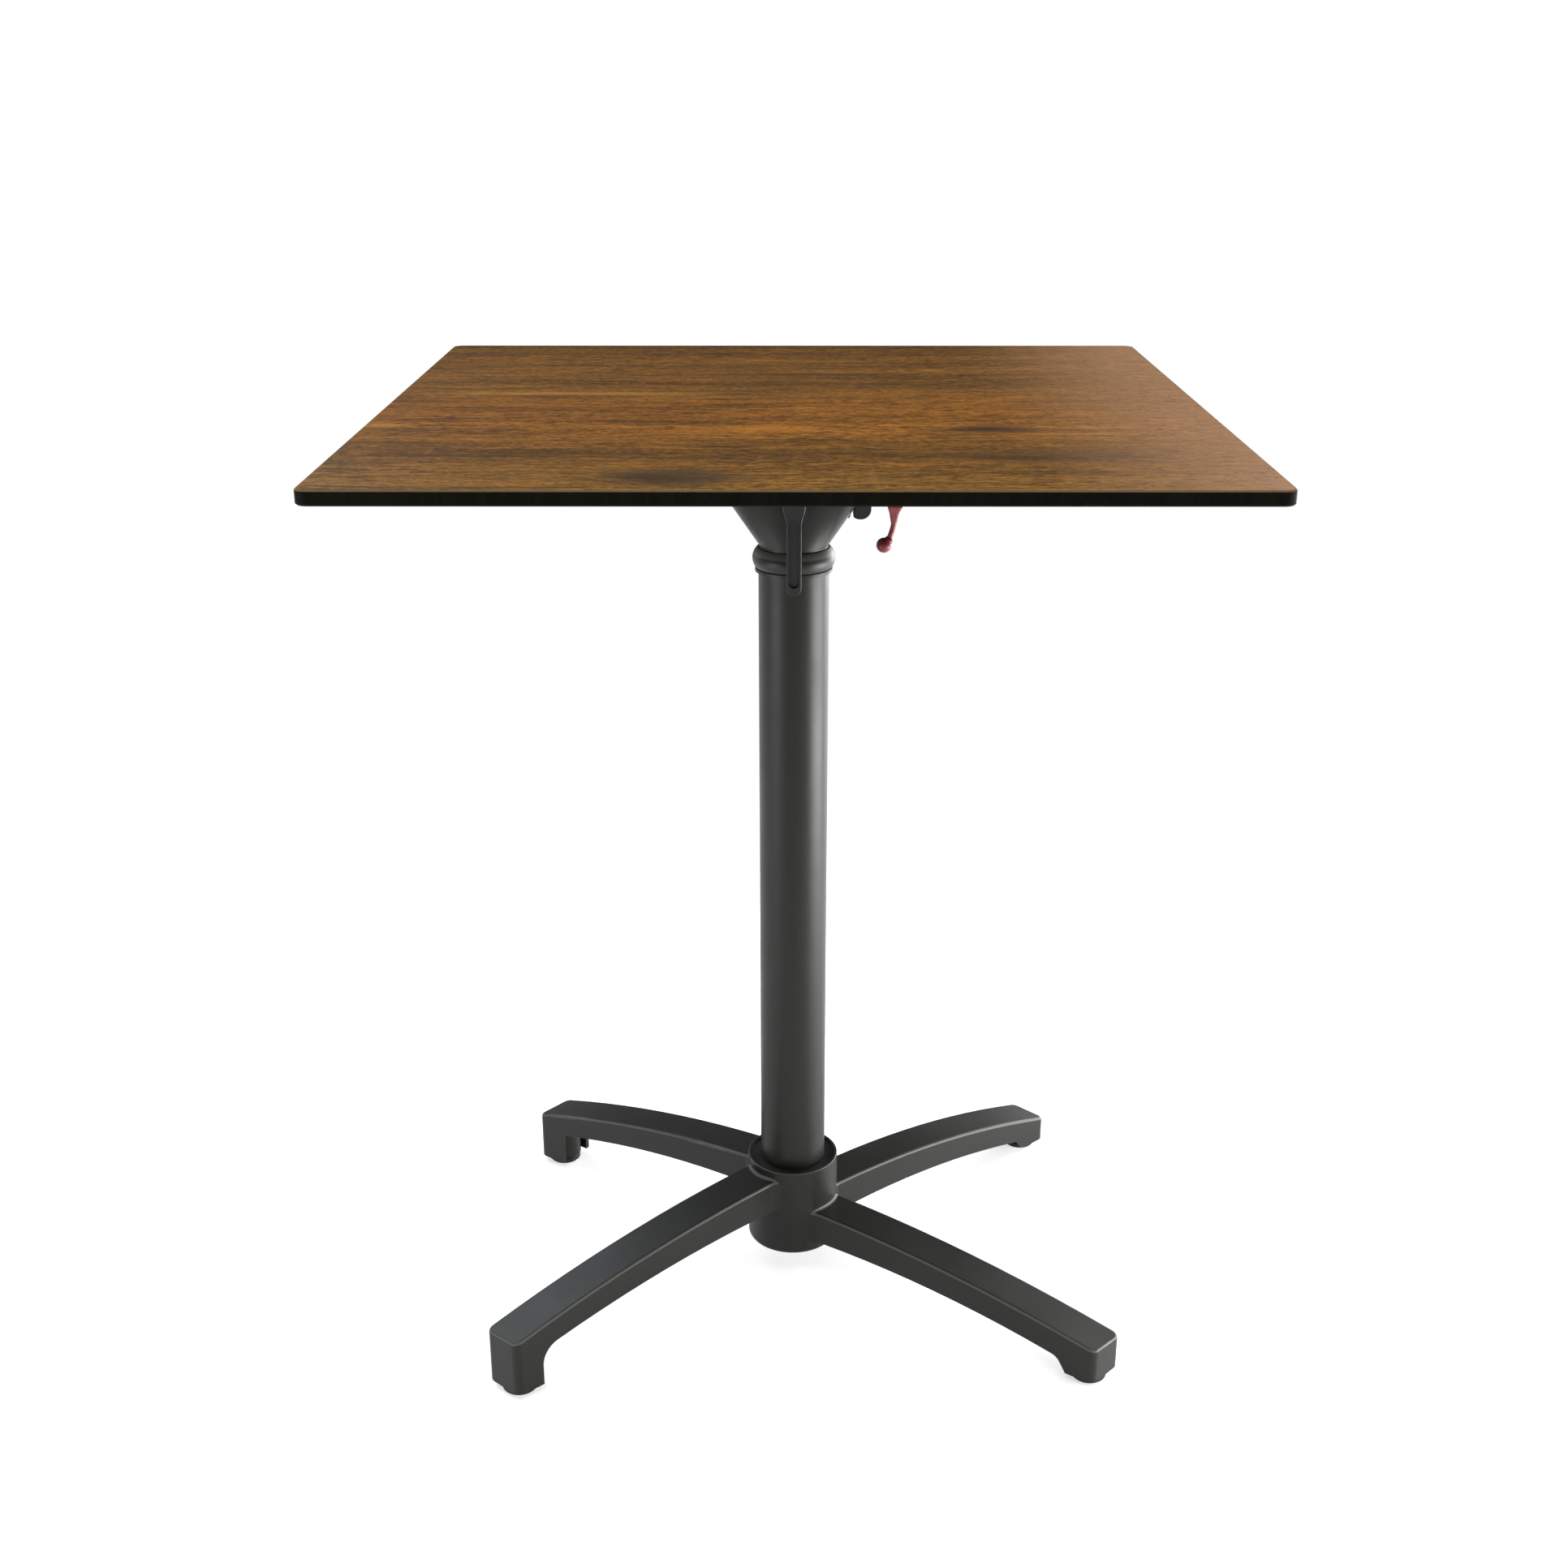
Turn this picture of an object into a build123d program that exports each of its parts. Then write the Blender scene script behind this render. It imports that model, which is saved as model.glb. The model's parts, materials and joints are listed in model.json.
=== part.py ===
from build123d import *
import math
import os

# Tilt-top bistro table, millimetres. Origin on the floor under the column, +Z up, front towards -Y.

# ------------------------------------------------------------------ driving dimensions
TABLE_HEIGHT = 740.0
TOP_SIZE = 600.0
TOP_THICKNESS = 10.0
TOP_CORNER_RADIUS = 8.5
TOP_EDGE_CHAMFER = 1.0

COLUMN_RADIUS = 27.0
COLUMN_WALL = 2.0
COLUMN_TOP = 632.0
COLUMN_SEAT = 54.0

HUB_RADIUS = 38.0
HUB_TOP = 102.0
HUB_BOTTOM = 22.5
HUB_WALL = 5.0
HUB_EDGE_RADIUS = 4.0
HUB_RIM_RADIUS = 0.8
HUB_SOCKET_RADIUS = 35.4
HUB_SOCKET_DEPTH = 6.0
WEB_THICKNESS = 7.0
SEAL_THICKNESS = 3.5
CAP_THICKNESS = 2.5
CAP_SKIRT = 7.0

GLIDE_RADIUS = 14.0
GLIDE_HEIGHT = 5.5
GLIDE_BEVEL = 1.2
GLIDE_ROUND = 1.8
STEM_RADIUS = 3.95
INSERT_RADIUS = 6.0
INSERT_LENGTH = 20.0

ARM_WIDTH = 36.0
ARM_WALL = 4.0
ARM_ROOF = 5.0
ARM_EDGE_RADIUS = 2.6
ARM_CORNER_RADIUS = 6.5
ARM_ROOT_RADIUS = 9.0
WIDE_ROOT_RADIUS = 16.0
ROOT_OVERLAP = 0.3
END_SKEW = 9.0
ROOT_FILLET = 2.5
FOOT_BOSS_RADIUS = 14.8
RIB_HALF_THICKNESS = 1.5
LEG_LENGTH = 27.0
LEG_BOTTOM = 6.0
PROFILE_OVERRUN = 6.0

# One arm per foot. "reach" and "angle" place the glide about the column, and "tip" is how far the arm
# goes on beyond it. "top" and "under" are the heights of the arm's upper side and soffit at the column,
# half way and at the far end; "flare" is the slope of the leg's inner side, and "fillet" rounds it into
# the soffit. "wide" is the side that faces the wide gap between arms: the root is larger there, and the
# end face is turned that way. The left arms are a tier above the right ones, so that folded tables nest.
# The base stands 2 degrees out of square with the top.
ARMS = {
    "fl": {"reach": 281.0, "angle": 220.1, "tip": 16.0, "wide": 1, "top": (94.5, 82.0, 50.4),
           "under": (65.0, 60.0, 38.0), "flare": 0.0, "fillet": 18.0},
    "fr": {"reach": 287.5, "angle": -35.2, "tip": 15.5, "wide": -1, "top": (62.0, 56.4, 33.7),
           "under": (32.0, 34.0, 18.5), "flare": 8.0, "fillet": 11.0},
    "bl": {"reach": 265.5, "angle": 144.4, "tip": 13.0, "wide": -1, "top": (94.5, 80.4, 47.4),
           "under": (65.0, 59.5, 36.0), "flare": 0.0, "fillet": 5.0},
    "br": {"reach": 285.0, "angle": 39.9, "tip": 13.5, "wide": 1, "top": (62.0, 57.2, 26.5),
           "under": (32.0, 34.0, 15.5), "flare": 8.0, "fillet": 9.0},
}

HINGE_HEIGHT = 672.0
AXLE_RADIUS = 6.0
STUD_RADIUS = 4.0
BARREL_RADIUS = 14.0
BARREL_HALF_LENGTH = 22.0
AXLE_BOSS_RADIUS = 9.5
AXLE_BOSS_REACH = 27.0
TIE_ROD_RADIUS = 5.0
TIE_WASHER_RADIUS = 16.0
TIE_WASHER_THICKNESS = 3.0
TIE_NUT_CORNER_RADIUS = 9.8
TIE_NUT_HEIGHT = 8.0
BUSH_RADIUS = 8.0
BUSH_FLANGE_RADIUS = 9.5
WASHER_RADIUS = 8.0
WASHER_THICKNESS = 1.6
CAP_NUT_CORNER_RADIUS = 8.2
CAP_NUT_DOME_RADIUS = 6.2

SPIGOT_BOTTOM = 598.0
SPIGOT_BORE_RADIUS = 18.0
NECK_RADIUS = 26.4
FUNNEL_BOTTOM = 634.0
FUNNEL_TOP = 676.0
FUNNEL_HALF_WIDTH = 53.4
FUNNEL_HALF_DEPTH = 26.0
FUNNEL_CORNER = 15.0
CUP_FLOOR = 656.0
CUP_WALL = 5.0
CUP_TAPER_X = 14.0
CUP_TAPER_Y = 3.0
PEDESTAL_HALF_LENGTH = 12.0
PEDESTAL_HALF_DEPTH = 20.0

COLLAR_TOP = 632.5
COLLAR_WIDEST = 623.5
COLLAR_LIP_TOP = 616.4
COLLAR_BOTTOM = 614.0
COLLAR_BEAD_RADIUS = 31.6
COLLAR_LIP_RADIUS = 29.6

QUADRANT_RADIUS = 45.0
QUADRANT_HALF_THICKNESS = 6.0
QUADRANT_START = -22.0
QUADRANT_END = 112.0
QUADRANT_HOLE_RADIUS = 6.5
QUADRANT_HOLE_PLACE = 30.0
QUADRANT_HOLE_ANGLES = (22.0, 60.0)
REST_EAR_X = (5.0, 19.0)
REST_EAR_Y = (12.0, 20.0)
BUFFER_HEIGHT = 3.0
BUFFER_RADIUS = 3.6

PLATE_THICKNESS = 4.0
PLATE_LEFT = -76.0
PLATE_RIGHT = 106.0
PLATE_HALF_DEPTH = 60.0
PLATE_CORNER = 14.0
LUG_INNER = 28.85
LUG_OUTER = 34.0
LUG_BOSS_RADIUS = 10.6
LUG_TOP_HALF_WIDTH = 30.0
GUSSET_PLACE = 16.0
GUSSET_HEIGHT = 25.0
GUSSET_THICKNESS = 3.5
SCREW_X = (-62.0, 15.0, 92.0)
SCREW_Y = 47.0
SCREW_RADIUS = 2.9
SCREW_HEAD_RADIUS = 6.0
SCREW_HEAD_HEIGHT = 3.1
SOCKET_RADIUS = 2.3
TOP_INSERT_RADIUS = 4.5
TOP_INSERT_LENGTH = 7.0

BRAKE_PIVOT_X = 76.0
BRAKE_PIVOT_Z = 700.0
GUIDE_WALL_X = (64.0, 90.0)
GUIDE_WALL_THICKNESS = 4.0
GUIDE_WALL_HALF_WIDTH = 12.0
HOUSING_CHEEK = (7.2, 10.2)
LINING_CLEARANCE = 0.2
LINING_THICKNESS = 2.0
SHOE_BACK = 58.0
SHOE_FRONT = 42.0
SHOE_HALF_HEIGHT = 16.8
SHOE_HALF_WIDTH = 10.0
SHOE_ROUND = 7.6
LINING_HALF_HEIGHT = 10.0
SPRING_POCKET = 52.0
SPRING_COIL_RADIUS = 4.6
SPRING_WIRE_RADIUS = 0.45
SPRING_TURNS = 5.0
BRAKE_PIN_RADIUS = 2.5
ROD_RADIUS = 3.0
ROD_COLLAR_X = 81.8
ROD_COLLAR_LENGTH = 3.0
FORK_HALF_LENGTH = 5.5
FORK_HALF_WIDTH = 6.5
BALL_X = 68.4
BALL_Z = 633.0
BALL_RADIUS = 5.8

LEVER_TIP = 606.0
LEVER_BLADE_HALF_WIDTH = 5.45
LEVER_BLADE_THICKNESS = 5.5
LEVER_RIM = 1.6
LEVER_DISH_DEPTH = 2.4
LEVER_HUB_RADIUS = 8.5
LEVER_SHOULDER = 671.0
LEVER_WAIST = 660.0
LEVER_FRONT = -47.0
LEVER_BACK = -37.0
LEVER_SLEEVE_RADIUS = 6.0
LEVER_TAIL_NOSE = ((10.4, 660.0), (9.2, 654.6), (5.6, 652.2))
LEVER_TAIL_SIDES = ((5.6, 652.2), (3.0, 658.0), (3.0, 672.0), (10.4, 672.0), (10.4, 660.0))
LEVER_DISH_FROM_TIP = 9.5

RUNNING_FIT = 0.05
SEAT_FIT = 0.02
PLAY = 0.3

UNDERSIDE = TABLE_HEIGHT - TOP_THICKNESS
PLATE_BOTTOM = UNDERSIDE - PLATE_THICKNESS


# ------------------------------------------------------------------ helpers
def upright(radius, z0, z1, x=0.0, y=0.0):
    """Round bar along Z."""
    return Pos(x, y, (z0 + z1) / 2) * Cylinder(radius, z1 - z0)


def crosswise(radius, y0, y1, x=0.0, z=HINGE_HEIGHT):
    """Round bar along Y."""
    return Pos(x, (y0 + y1) / 2, z) * Rot(90, 0, 0) * Cylinder(radius, y1 - y0)


def lengthwise(radius, x0, x1, y=0.0, z=HINGE_HEIGHT):
    """Round bar along X."""
    return Pos((x0 + x1) / 2, y, z) * Rot(0, 90, 0) * Cylinder(radius, x1 - x0)


def block(x0, x1, y0, y1, z0, z1):
    """Rectangular block between two corners."""
    return Pos((x0 + x1) / 2, (y0 + y1) / 2, (z0 + z1) / 2) * Box(x1 - x0, y1 - y0, z1 - z0)


def slab(outline, y0, y1):
    """Extrude an outline drawn in X and Z from y0 to y1."""
    face = make_face(outline) if isinstance(outline, (list, Curve)) else outline
    return Pos(0, y1, 0) * extrude(Plane.XZ * face, y1 - y0)


def polar(radius, degrees):
    """Point at an angle about the hinge axis, measured from +X towards +Z."""
    angle = math.radians(degrees)
    return (radius * math.cos(angle), HINGE_HEIGHT + radius * math.sin(angle))


def sector(radius, start, end):
    """Pie slice about the hinge axis, in X and Z."""
    centre = (0.0, HINGE_HEIGHT)
    middle = polar(radius, (start + end) / 2)
    rim = ThreePointArc(polar(radius, start), middle, polar(radius, end))
    return make_face([Line(centre, polar(radius, start)), rim, Line(polar(radius, end), centre)])


def glide_place(foot):
    """Centre of a foot's glide on the floor."""
    angle = math.radians(ARMS[foot]["angle"])
    return (ARMS[foot]["reach"] * math.cos(angle), ARMS[foot]["reach"] * math.sin(angle))


# ------------------------------------------------------------------ base
def arm_profile(form):
    """Side outline of one arm and its foot leg, X outwards from the column and Z up."""
    top, under = form["top"], form["under"]
    end = form["reach"] + form["tip"] + PROFILE_OVERRUN
    leg_inner = form["reach"] + form["tip"] - LEG_LENGTH
    corner = leg_inner - form["flare"]
    upper = ThreePointArc((0, top[0]), (end / 2, top[1]), (end, top[2]))
    soffit = ThreePointArc((corner, under[2]), (corner / 2, under[1]), (0, under[0]))
    leg = Polyline((end, top[2]), (end, LEG_BOTTOM), (leg_inner, LEG_BOTTOM), (corner, under[2]))
    profile = make_face([upper, leg, soffit, Line((0, under[0]), (0, top[0]))])
    inside_corner = profile.vertices().sort_by_distance((corner, under[2], 0))[0]
    return fillet(inside_corner, form["fillet"])


def arm_root(radius, side):
    """Points where an arm's side leaves the hub: on the hub, half way along the arc, and on the side."""
    half = ARM_WIDTH / 2
    hub = HUB_RADIUS - ROOT_OVERLAP
    centre_y = half + radius
    centre_x = math.sqrt((hub + radius) ** 2 - centre_y ** 2)
    lean = math.atan2(centre_y, centre_x)
    middle = (lean + math.pi / 2) / 2
    on_hub = (hub * math.cos(lean), side * hub * math.sin(lean))
    on_arc = (centre_x - radius * math.cos(middle), side * (centre_y - radius * math.sin(middle)))
    return on_hub, on_arc, (centre_x, side * half)


def arm_plan(form):
    """Outline of one arm from above: rounded outer corners, and roots that run into the hub."""
    tip = form["reach"] + form["tip"]
    half = ARM_WIDTH / 2
    lead = half * math.tan(math.radians(END_SKEW))
    wide = arm_root(WIDE_ROOT_RADIUS, 1)
    narrow = arm_root(ARM_ROOT_RADIUS, -1)
    end = Polyline(wide[2], (tip - lead, half), (tip + lead, -half), narrow[2])
    middle = Polyline(narrow[0], (0, 0), wide[0])
    plan = make_face([ThreePointArc(*wide), end, ThreePointArc(*narrow), middle])
    plan = fillet(plan.vertices().filter_by(lambda corner: corner.X > tip - 2 * lead), ARM_CORNER_RADIUS)
    return plan if form["wide"] > 0 else mirror(plan, about=Plane.XZ)


def below_roof(form):
    """Outline of everything under the arm's roof."""
    roof = [height - ARM_ROOF for height in form["top"]]
    end = form["reach"] + form["tip"] + PROFILE_OVERRUN
    ceiling = ThreePointArc((0, roof[0]), (end / 2, roof[1]), (end, roof[2]))
    return make_face([ceiling, Polyline((end, roof[2]), (end, -1), (0, -1), (0, roof[0]))])


def arm(form):
    """One arm: channel section open below, hollow leg, and the boss that holds a glide."""
    plan = extrude(arm_plan(form), HUB_TOP)
    outer = slab(arm_profile(form), -HUB_RADIUS, HUB_RADIUS) & plan
    crown = outer.faces().sort_by(Axis.Z)[-1]
    outer = fillet(crown.edges().filter_by(lambda edge: edge.center().X > HUB_RADIUS - 10), ARM_EDGE_RADIUS)
    inside = slab(below_roof(form), -ARM_WIDTH, ARM_WIDTH)
    wall_end = form["reach"] + form["tip"] - ARM_WALL - 2
    half = ARM_WIDTH / 2 - ARM_WALL
    body = outer - (inside & block(HUB_RADIUS + HUB_WALL, wall_end, -half, half, -1, HUB_TOP))
    boss = upright(FOOT_BOSS_RADIUS, LEG_BOTTOM + 0.5, HUB_TOP, form["reach"])
    rib_foot = form["under"][1] - 2
    rib = block(HUB_RADIUS, form["reach"], -RIB_HALF_THICKNESS, RIB_HALF_THICKNESS, rib_foot, HUB_TOP)
    body += (boss + rib) & inside & plan
    return body - upright(INSERT_RADIUS + SEAT_FIT, -1.0, LEG_BOTTOM + INSERT_LENGTH + 2, form["reach"])


def arm_root_edges(body):
    """Edges where the tops of the arms meet the hub wall."""
    def on_wall(edge):
        points = (edge @ 0, edge @ 0.5, edge @ 1)
        return all(abs(math.hypot(point.X, point.Y) - HUB_RADIUS) < ROOT_OVERLAP for point in points)

    def above_arm(edge):
        form = ARMS["fl"] if edge.center().X < 0 else ARMS["fr"]
        return edge.center().Z > form["top"][0] - 12

    return body.edges().filter_by(GeomType.BSPLINE).filter_by(on_wall).filter_by(above_arm)


def base_casting():
    """Hub and four arms in one casting; left arms sit a tier above the right ones so that bases nest."""
    hub = upright(HUB_RADIUS, HUB_BOTTOM, HUB_TOP)
    hub = fillet(hub.edges().filter_by(GeomType.CIRCLE).sort_by(Axis.Z)[0], HUB_EDGE_RADIUS)
    body = fillet(hub.edges().filter_by(GeomType.CIRCLE).sort_by(Axis.Z)[-1], HUB_RIM_RADIUS)
    for form in ARMS.values():
        body += Rot(0, 0, form["angle"]) * arm(form)
    body = fillet(arm_root_edges(body), ROOT_FILLET)
    body -= upright(COLUMN_RADIUS + PLAY, COLUMN_SEAT, HUB_TOP + 1)
    body -= upright(HUB_SOCKET_RADIUS, HUB_TOP - HUB_SOCKET_DEPTH, HUB_TOP + 1)
    body -= upright(HUB_RADIUS - HUB_WALL, HUB_BOTTOM - 1, COLUMN_SEAT - WEB_THICKNESS)
    return body - upright(TIE_ROD_RADIUS + PLAY, HUB_BOTTOM, COLUMN_SEAT + 1)


def foot_inserts():
    """Threaded sleeves in the four foot bosses."""
    sleeves = []
    for x, y in map(glide_place, ARMS):
        sleeve = upright(INSERT_RADIUS, LEG_BOTTOM + 1, LEG_BOTTOM + 1 + INSERT_LENGTH, x, y)
        bore = upright(STEM_RADIUS + RUNNING_FIT, LEG_BOTTOM, LEG_BOTTOM + INSERT_LENGTH + 2, x, y)
        sleeves.append(sleeve - bore)
    return Compound(children=sleeves)


def glide_pad(x, y):
    """Plastic floor pad with a bevelled sole."""
    pad = upright(GLIDE_RADIUS, 0.0, GLIDE_HEIGHT, x, y)
    pad = chamfer(pad.edges().filter_by(GeomType.CIRCLE).sort_by(Axis.Z)[0], GLIDE_BEVEL)
    pad = fillet(pad.edges().filter_by(GeomType.CIRCLE).sort_by(Axis.Z)[-1], GLIDE_ROUND)
    return pad - upright(STEM_RADIUS, GLIDE_HEIGHT / 2, GLIDE_HEIGHT + 1, x, y)


def glide_stem(x, y):
    """Threaded stem that screws up into the foot."""
    return upright(STEM_RADIUS, GLIDE_HEIGHT / 2, LEG_BOTTOM + INSERT_LENGTH - 2, x, y)


def base_cap():
    """Push-in plastic lid over the hub's open underside."""
    radius = HUB_RADIUS - HUB_WALL - PLAY
    lid = upright(radius, HUB_BOTTOM, HUB_BOTTOM + CAP_SKIRT)
    return lid - upright(radius - 1.8, HUB_BOTTOM + CAP_THICKNESS, HUB_BOTTOM + CAP_SKIRT + 1)


# ------------------------------------------------------------------ column
def column_tube():
    """Round tube, seated in the hub."""
    outer = upright(COLUMN_RADIUS, COLUMN_SEAT, COLUMN_TOP)
    return outer - upright(COLUMN_RADIUS - COLUMN_WALL, COLUMN_SEAT - 1, COLUMN_TOP + 1)


def hub_seal_ring():
    """Dark sealing ring sunk in the gap between column and hub."""
    floor = HUB_TOP - HUB_SOCKET_DEPTH
    ring = upright(HUB_SOCKET_RADIUS - SEAT_FIT, floor, floor + SEAL_THICKNESS)
    return ring - upright(COLUMN_RADIUS + SEAT_FIT, floor - 1, HUB_TOP)


def column_collar():
    """Round bead with a thin lower lip, covering the joint of tube and head."""
    inside = COLUMN_RADIUS + SEAT_FIT
    shoulder = inside + 0.6
    waist = (shoulder + 1, COLLAR_LIP_TOP)
    bead = ThreePointArc((shoulder, COLLAR_TOP), (COLLAR_BEAD_RADIUS, COLLAR_WIDEST), waist)
    rest = Polyline(waist, (COLLAR_LIP_RADIUS, COLLAR_LIP_TOP),
                    (COLLAR_LIP_RADIUS, COLLAR_BOTTOM), (inside, COLLAR_BOTTOM), (inside, COLLAR_TOP),
                    (shoulder, COLLAR_TOP))
    return revolve(Plane.XZ * make_face([bead, rest]), Axis.Z)


def tie_rod():
    """Threaded rod that pulls the head down onto the column and base."""
    return upright(TIE_ROD_RADIUS, HUB_BOTTOM + 6, COLUMN_TOP - 6)


def tie_rod_washer():
    """Flat washer under the hub's web."""
    web = COLUMN_SEAT - WEB_THICKNESS
    ring = upright(TIE_WASHER_RADIUS, web - TIE_WASHER_THICKNESS, web)
    return ring - upright(TIE_ROD_RADIUS + PLAY, HUB_BOTTOM, COLUMN_SEAT)


def tie_rod_nut():
    """Hexagon nut that tightens the tie rod."""
    bottom = COLUMN_SEAT - WEB_THICKNESS - TIE_WASHER_THICKNESS - TIE_NUT_HEIGHT
    nut = Pos(0, 0, bottom) * extrude(RegularPolygon(TIE_NUT_CORNER_RADIUS, 6), TIE_NUT_HEIGHT)
    return nut - upright(TIE_ROD_RADIUS + SEAT_FIT, HUB_BOTTOM, COLUMN_SEAT)


# ------------------------------------------------------------------ head
def rounded_section(half_width, half_depth, corner, z):
    """Level rounded rectangle for the cup's lofts."""
    return Pos(0, 0, z) * RectangleRounded(2 * half_width, 2 * half_depth, corner)


def head_casting():
    """Neck, flared cup, hinge barrel, brake quadrant and rest ears, in one casting."""
    spigot = upright(COLUMN_RADIUS - COLUMN_WALL - 0.1, SPIGOT_BOTTOM, COLUMN_TOP + 1)
    spigot -= upright(SPIGOT_BORE_RADIUS, SPIGOT_BOTTOM - 1, COLUMN_TOP - 14)
    neck = upright(NECK_RADIUS, COLUMN_TOP, FUNNEL_BOTTOM)
    brim = rounded_section(FUNNEL_HALF_WIDTH, FUNNEL_HALF_DEPTH, FUNNEL_CORNER, FUNNEL_TOP)
    body = spigot + neck + loft([Pos(0, 0, FUNNEL_BOTTOM) * Circle(NECK_RADIUS), brim])
    mouth = FUNNEL_HALF_WIDTH - CUP_WALL
    depth = FUNNEL_HALF_DEPTH - CUP_WALL
    floor = rounded_section(mouth - CUP_TAPER_X, depth - CUP_TAPER_Y, FUNNEL_CORNER - 2, CUP_FLOOR)
    body -= loft([floor, rounded_section(mouth, depth, FUNNEL_CORNER - 3, FUNNEL_TOP + 1)])
    shoe_room = block(SHOE_FRONT - 12, FUNNEL_HALF_WIDTH + 2, -SHOE_HALF_WIDTH - 1, SHOE_HALF_WIDTH + 1,
                      CUP_FLOOR, FUNNEL_TOP + 1)
    body -= shoe_room - crosswise(QUADRANT_RADIUS - 2, -SHOE_HALF_WIDTH - 2, SHOE_HALF_WIDTH + 2)
    body += block(-PEDESTAL_HALF_LENGTH, PEDESTAL_HALF_LENGTH, -PEDESTAL_HALF_DEPTH, PEDESTAL_HALF_DEPTH,
                  CUP_FLOOR - 5, HINGE_HEIGHT - 2)
    body += crosswise(BARREL_RADIUS, -BARREL_HALF_LENGTH, BARREL_HALF_LENGTH)
    body += crosswise(AXLE_BOSS_RADIUS, -AXLE_BOSS_REACH, AXLE_BOSS_REACH)
    body += brake_quadrant()
    for side in (-1, 1):
        y0, y1 = sorted((side * REST_EAR_Y[0], side * REST_EAR_Y[1]))
        body += block(*REST_EAR_X, y0, y1, HINGE_HEIGHT, PLATE_BOTTOM - BUFFER_HEIGHT)
    body -= crosswise(AXLE_RADIUS + SEAT_FIT, -AXLE_BOSS_REACH - 1, AXLE_BOSS_REACH + 1)
    return body - upright(TIE_ROD_RADIUS + SEAT_FIT, SPIGOT_BOTTOM, COLUMN_TOP - 5)


def brake_quadrant():
    """Web round the hinge whose rim the brake lining grips."""
    sides = (-QUADRANT_HALF_THICKNESS, QUADRANT_HALF_THICKNESS)
    web = slab(sector(QUADRANT_RADIUS, QUADRANT_START, QUADRANT_END), *sides)
    through = QUADRANT_HALF_THICKNESS + 1
    for angle in QUADRANT_HOLE_ANGLES:
        web -= crosswise(QUADRANT_HOLE_RADIUS, -through, through, *polar(QUADRANT_HOLE_PLACE, angle))
    return web


def rest_buffers():
    """Rubber buttons on the rest ears, under the plate."""
    x = sum(REST_EAR_X) / 2
    y = sum(REST_EAR_Y) / 2
    top = PLATE_BOTTOM - PLAY
    buttons = [upright(BUFFER_RADIUS, PLATE_BOTTOM - BUFFER_HEIGHT, top, x, side * y) for side in (-1, 1)]
    return Compound(children=[fillet(button.edges().filter_by(GeomType.CIRCLE).sort_by(Axis.Z)[-1], 0.8)
                              for button in buttons])


def hinge_axle():
    """Fixed axle through the barrel; its front end is a stud for the clamp lever."""
    reach = LUG_OUTER + PLAY
    return crosswise(AXLE_RADIUS, -reach, reach) + crosswise(STUD_RADIUS, LEVER_FRONT + 2, reach + 7)


def axle_washers():
    """Washers against the outer faces of the lugs."""
    reach = LUG_OUTER + PLAY
    washers = []
    for y0, y1 in ((-reach - WASHER_THICKNESS, -reach), (reach, reach + WASHER_THICKNESS)):
        washers.append(crosswise(WASHER_RADIUS, y0, y1) - crosswise(STUD_RADIUS + SEAT_FIT, y0 - 1, y1 + 1))
    return Compound(children=washers)


def axle_cap_nut():
    """Domed nut on the rear end of the axle."""
    start = LUG_OUTER + PLAY + WASHER_THICKNESS
    nut = extrude(RegularPolygon(CAP_NUT_CORNER_RADIUS, 6), 6)
    hexagon = Pos(0, start + 6, HINGE_HEIGHT) * Rot(90, 0, 0) * nut
    dome = Pos(0, start + 6, HINGE_HEIGHT) * Sphere(CAP_NUT_DOME_RADIUS)
    dome &= block(-9, 9, start + 5, start + 14, HINGE_HEIGHT - 9, HINGE_HEIGHT + 9)
    return hexagon + dome - crosswise(STUD_RADIUS + SEAT_FIT, start - 1, start + 6)


# ------------------------------------------------------------------ clamp lever
def clamp_lever():
    """Hanging lever: dished blade with raised rims, round hub and a small cam tail behind the blade."""
    wide = LEVER_HUB_RADIUS - 0.2
    narrow = LEVER_BLADE_HALF_WIDTH
    end = LEVER_TIP + narrow
    sides = Polyline((narrow, end), (narrow, LEVER_WAIST), (wide, LEVER_SHOULDER), (-wide, LEVER_SHOULDER),
                     (-narrow, LEVER_WAIST), (-narrow, end))
    tip = ThreePointArc((-narrow, end), (0, LEVER_TIP), (narrow, end))
    blade = slab(make_face([sides, tip]), LEVER_FRONT, LEVER_FRONT + LEVER_BLADE_THICKNESS)
    blade = fillet(blade.faces().sort_by(Axis.Y)[0].edges(), 0.5)
    hub = crosswise(LEVER_HUB_RADIUS, LEVER_FRONT, LEVER_BACK)
    hub = fillet(hub.edges().filter_by(GeomType.CIRCLE).sort_by(Axis.Y)[0], 1.2)
    tail = make_face([Polyline(*LEVER_TAIL_SIDES), ThreePointArc(*LEVER_TAIL_NOSE)])
    tail = slab(tail, LEVER_FRONT + LEVER_BLADE_THICKNESS - 0.5, LEVER_BACK - 1)
    inside = narrow - LEVER_RIM
    dish_ends = (LEVER_TIP + LEVER_DISH_FROM_TIP, LEVER_WAIST)
    dish = block(-inside, inside, LEVER_FRONT - 1, LEVER_FRONT + LEVER_DISH_DEPTH, *dish_ends)
    for z in dish_ends:
        dish += crosswise(inside, LEVER_FRONT - 1, LEVER_FRONT + LEVER_DISH_DEPTH, 0.0, z)
    body = blade + hub + tail - dish
    return body - crosswise(LEVER_SLEEVE_RADIUS + SEAT_FIT, LEVER_FRONT + 1.5, LEVER_BACK + 1)


def clamp_lever_insert():
    """Steel sleeve that runs on the stud."""
    sleeve = crosswise(LEVER_SLEEVE_RADIUS, LEVER_FRONT + 1.6, LEVER_BACK)
    return sleeve - crosswise(STUD_RADIUS + RUNNING_FIT, LEVER_FRONT, LEVER_BACK + 1)


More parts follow.
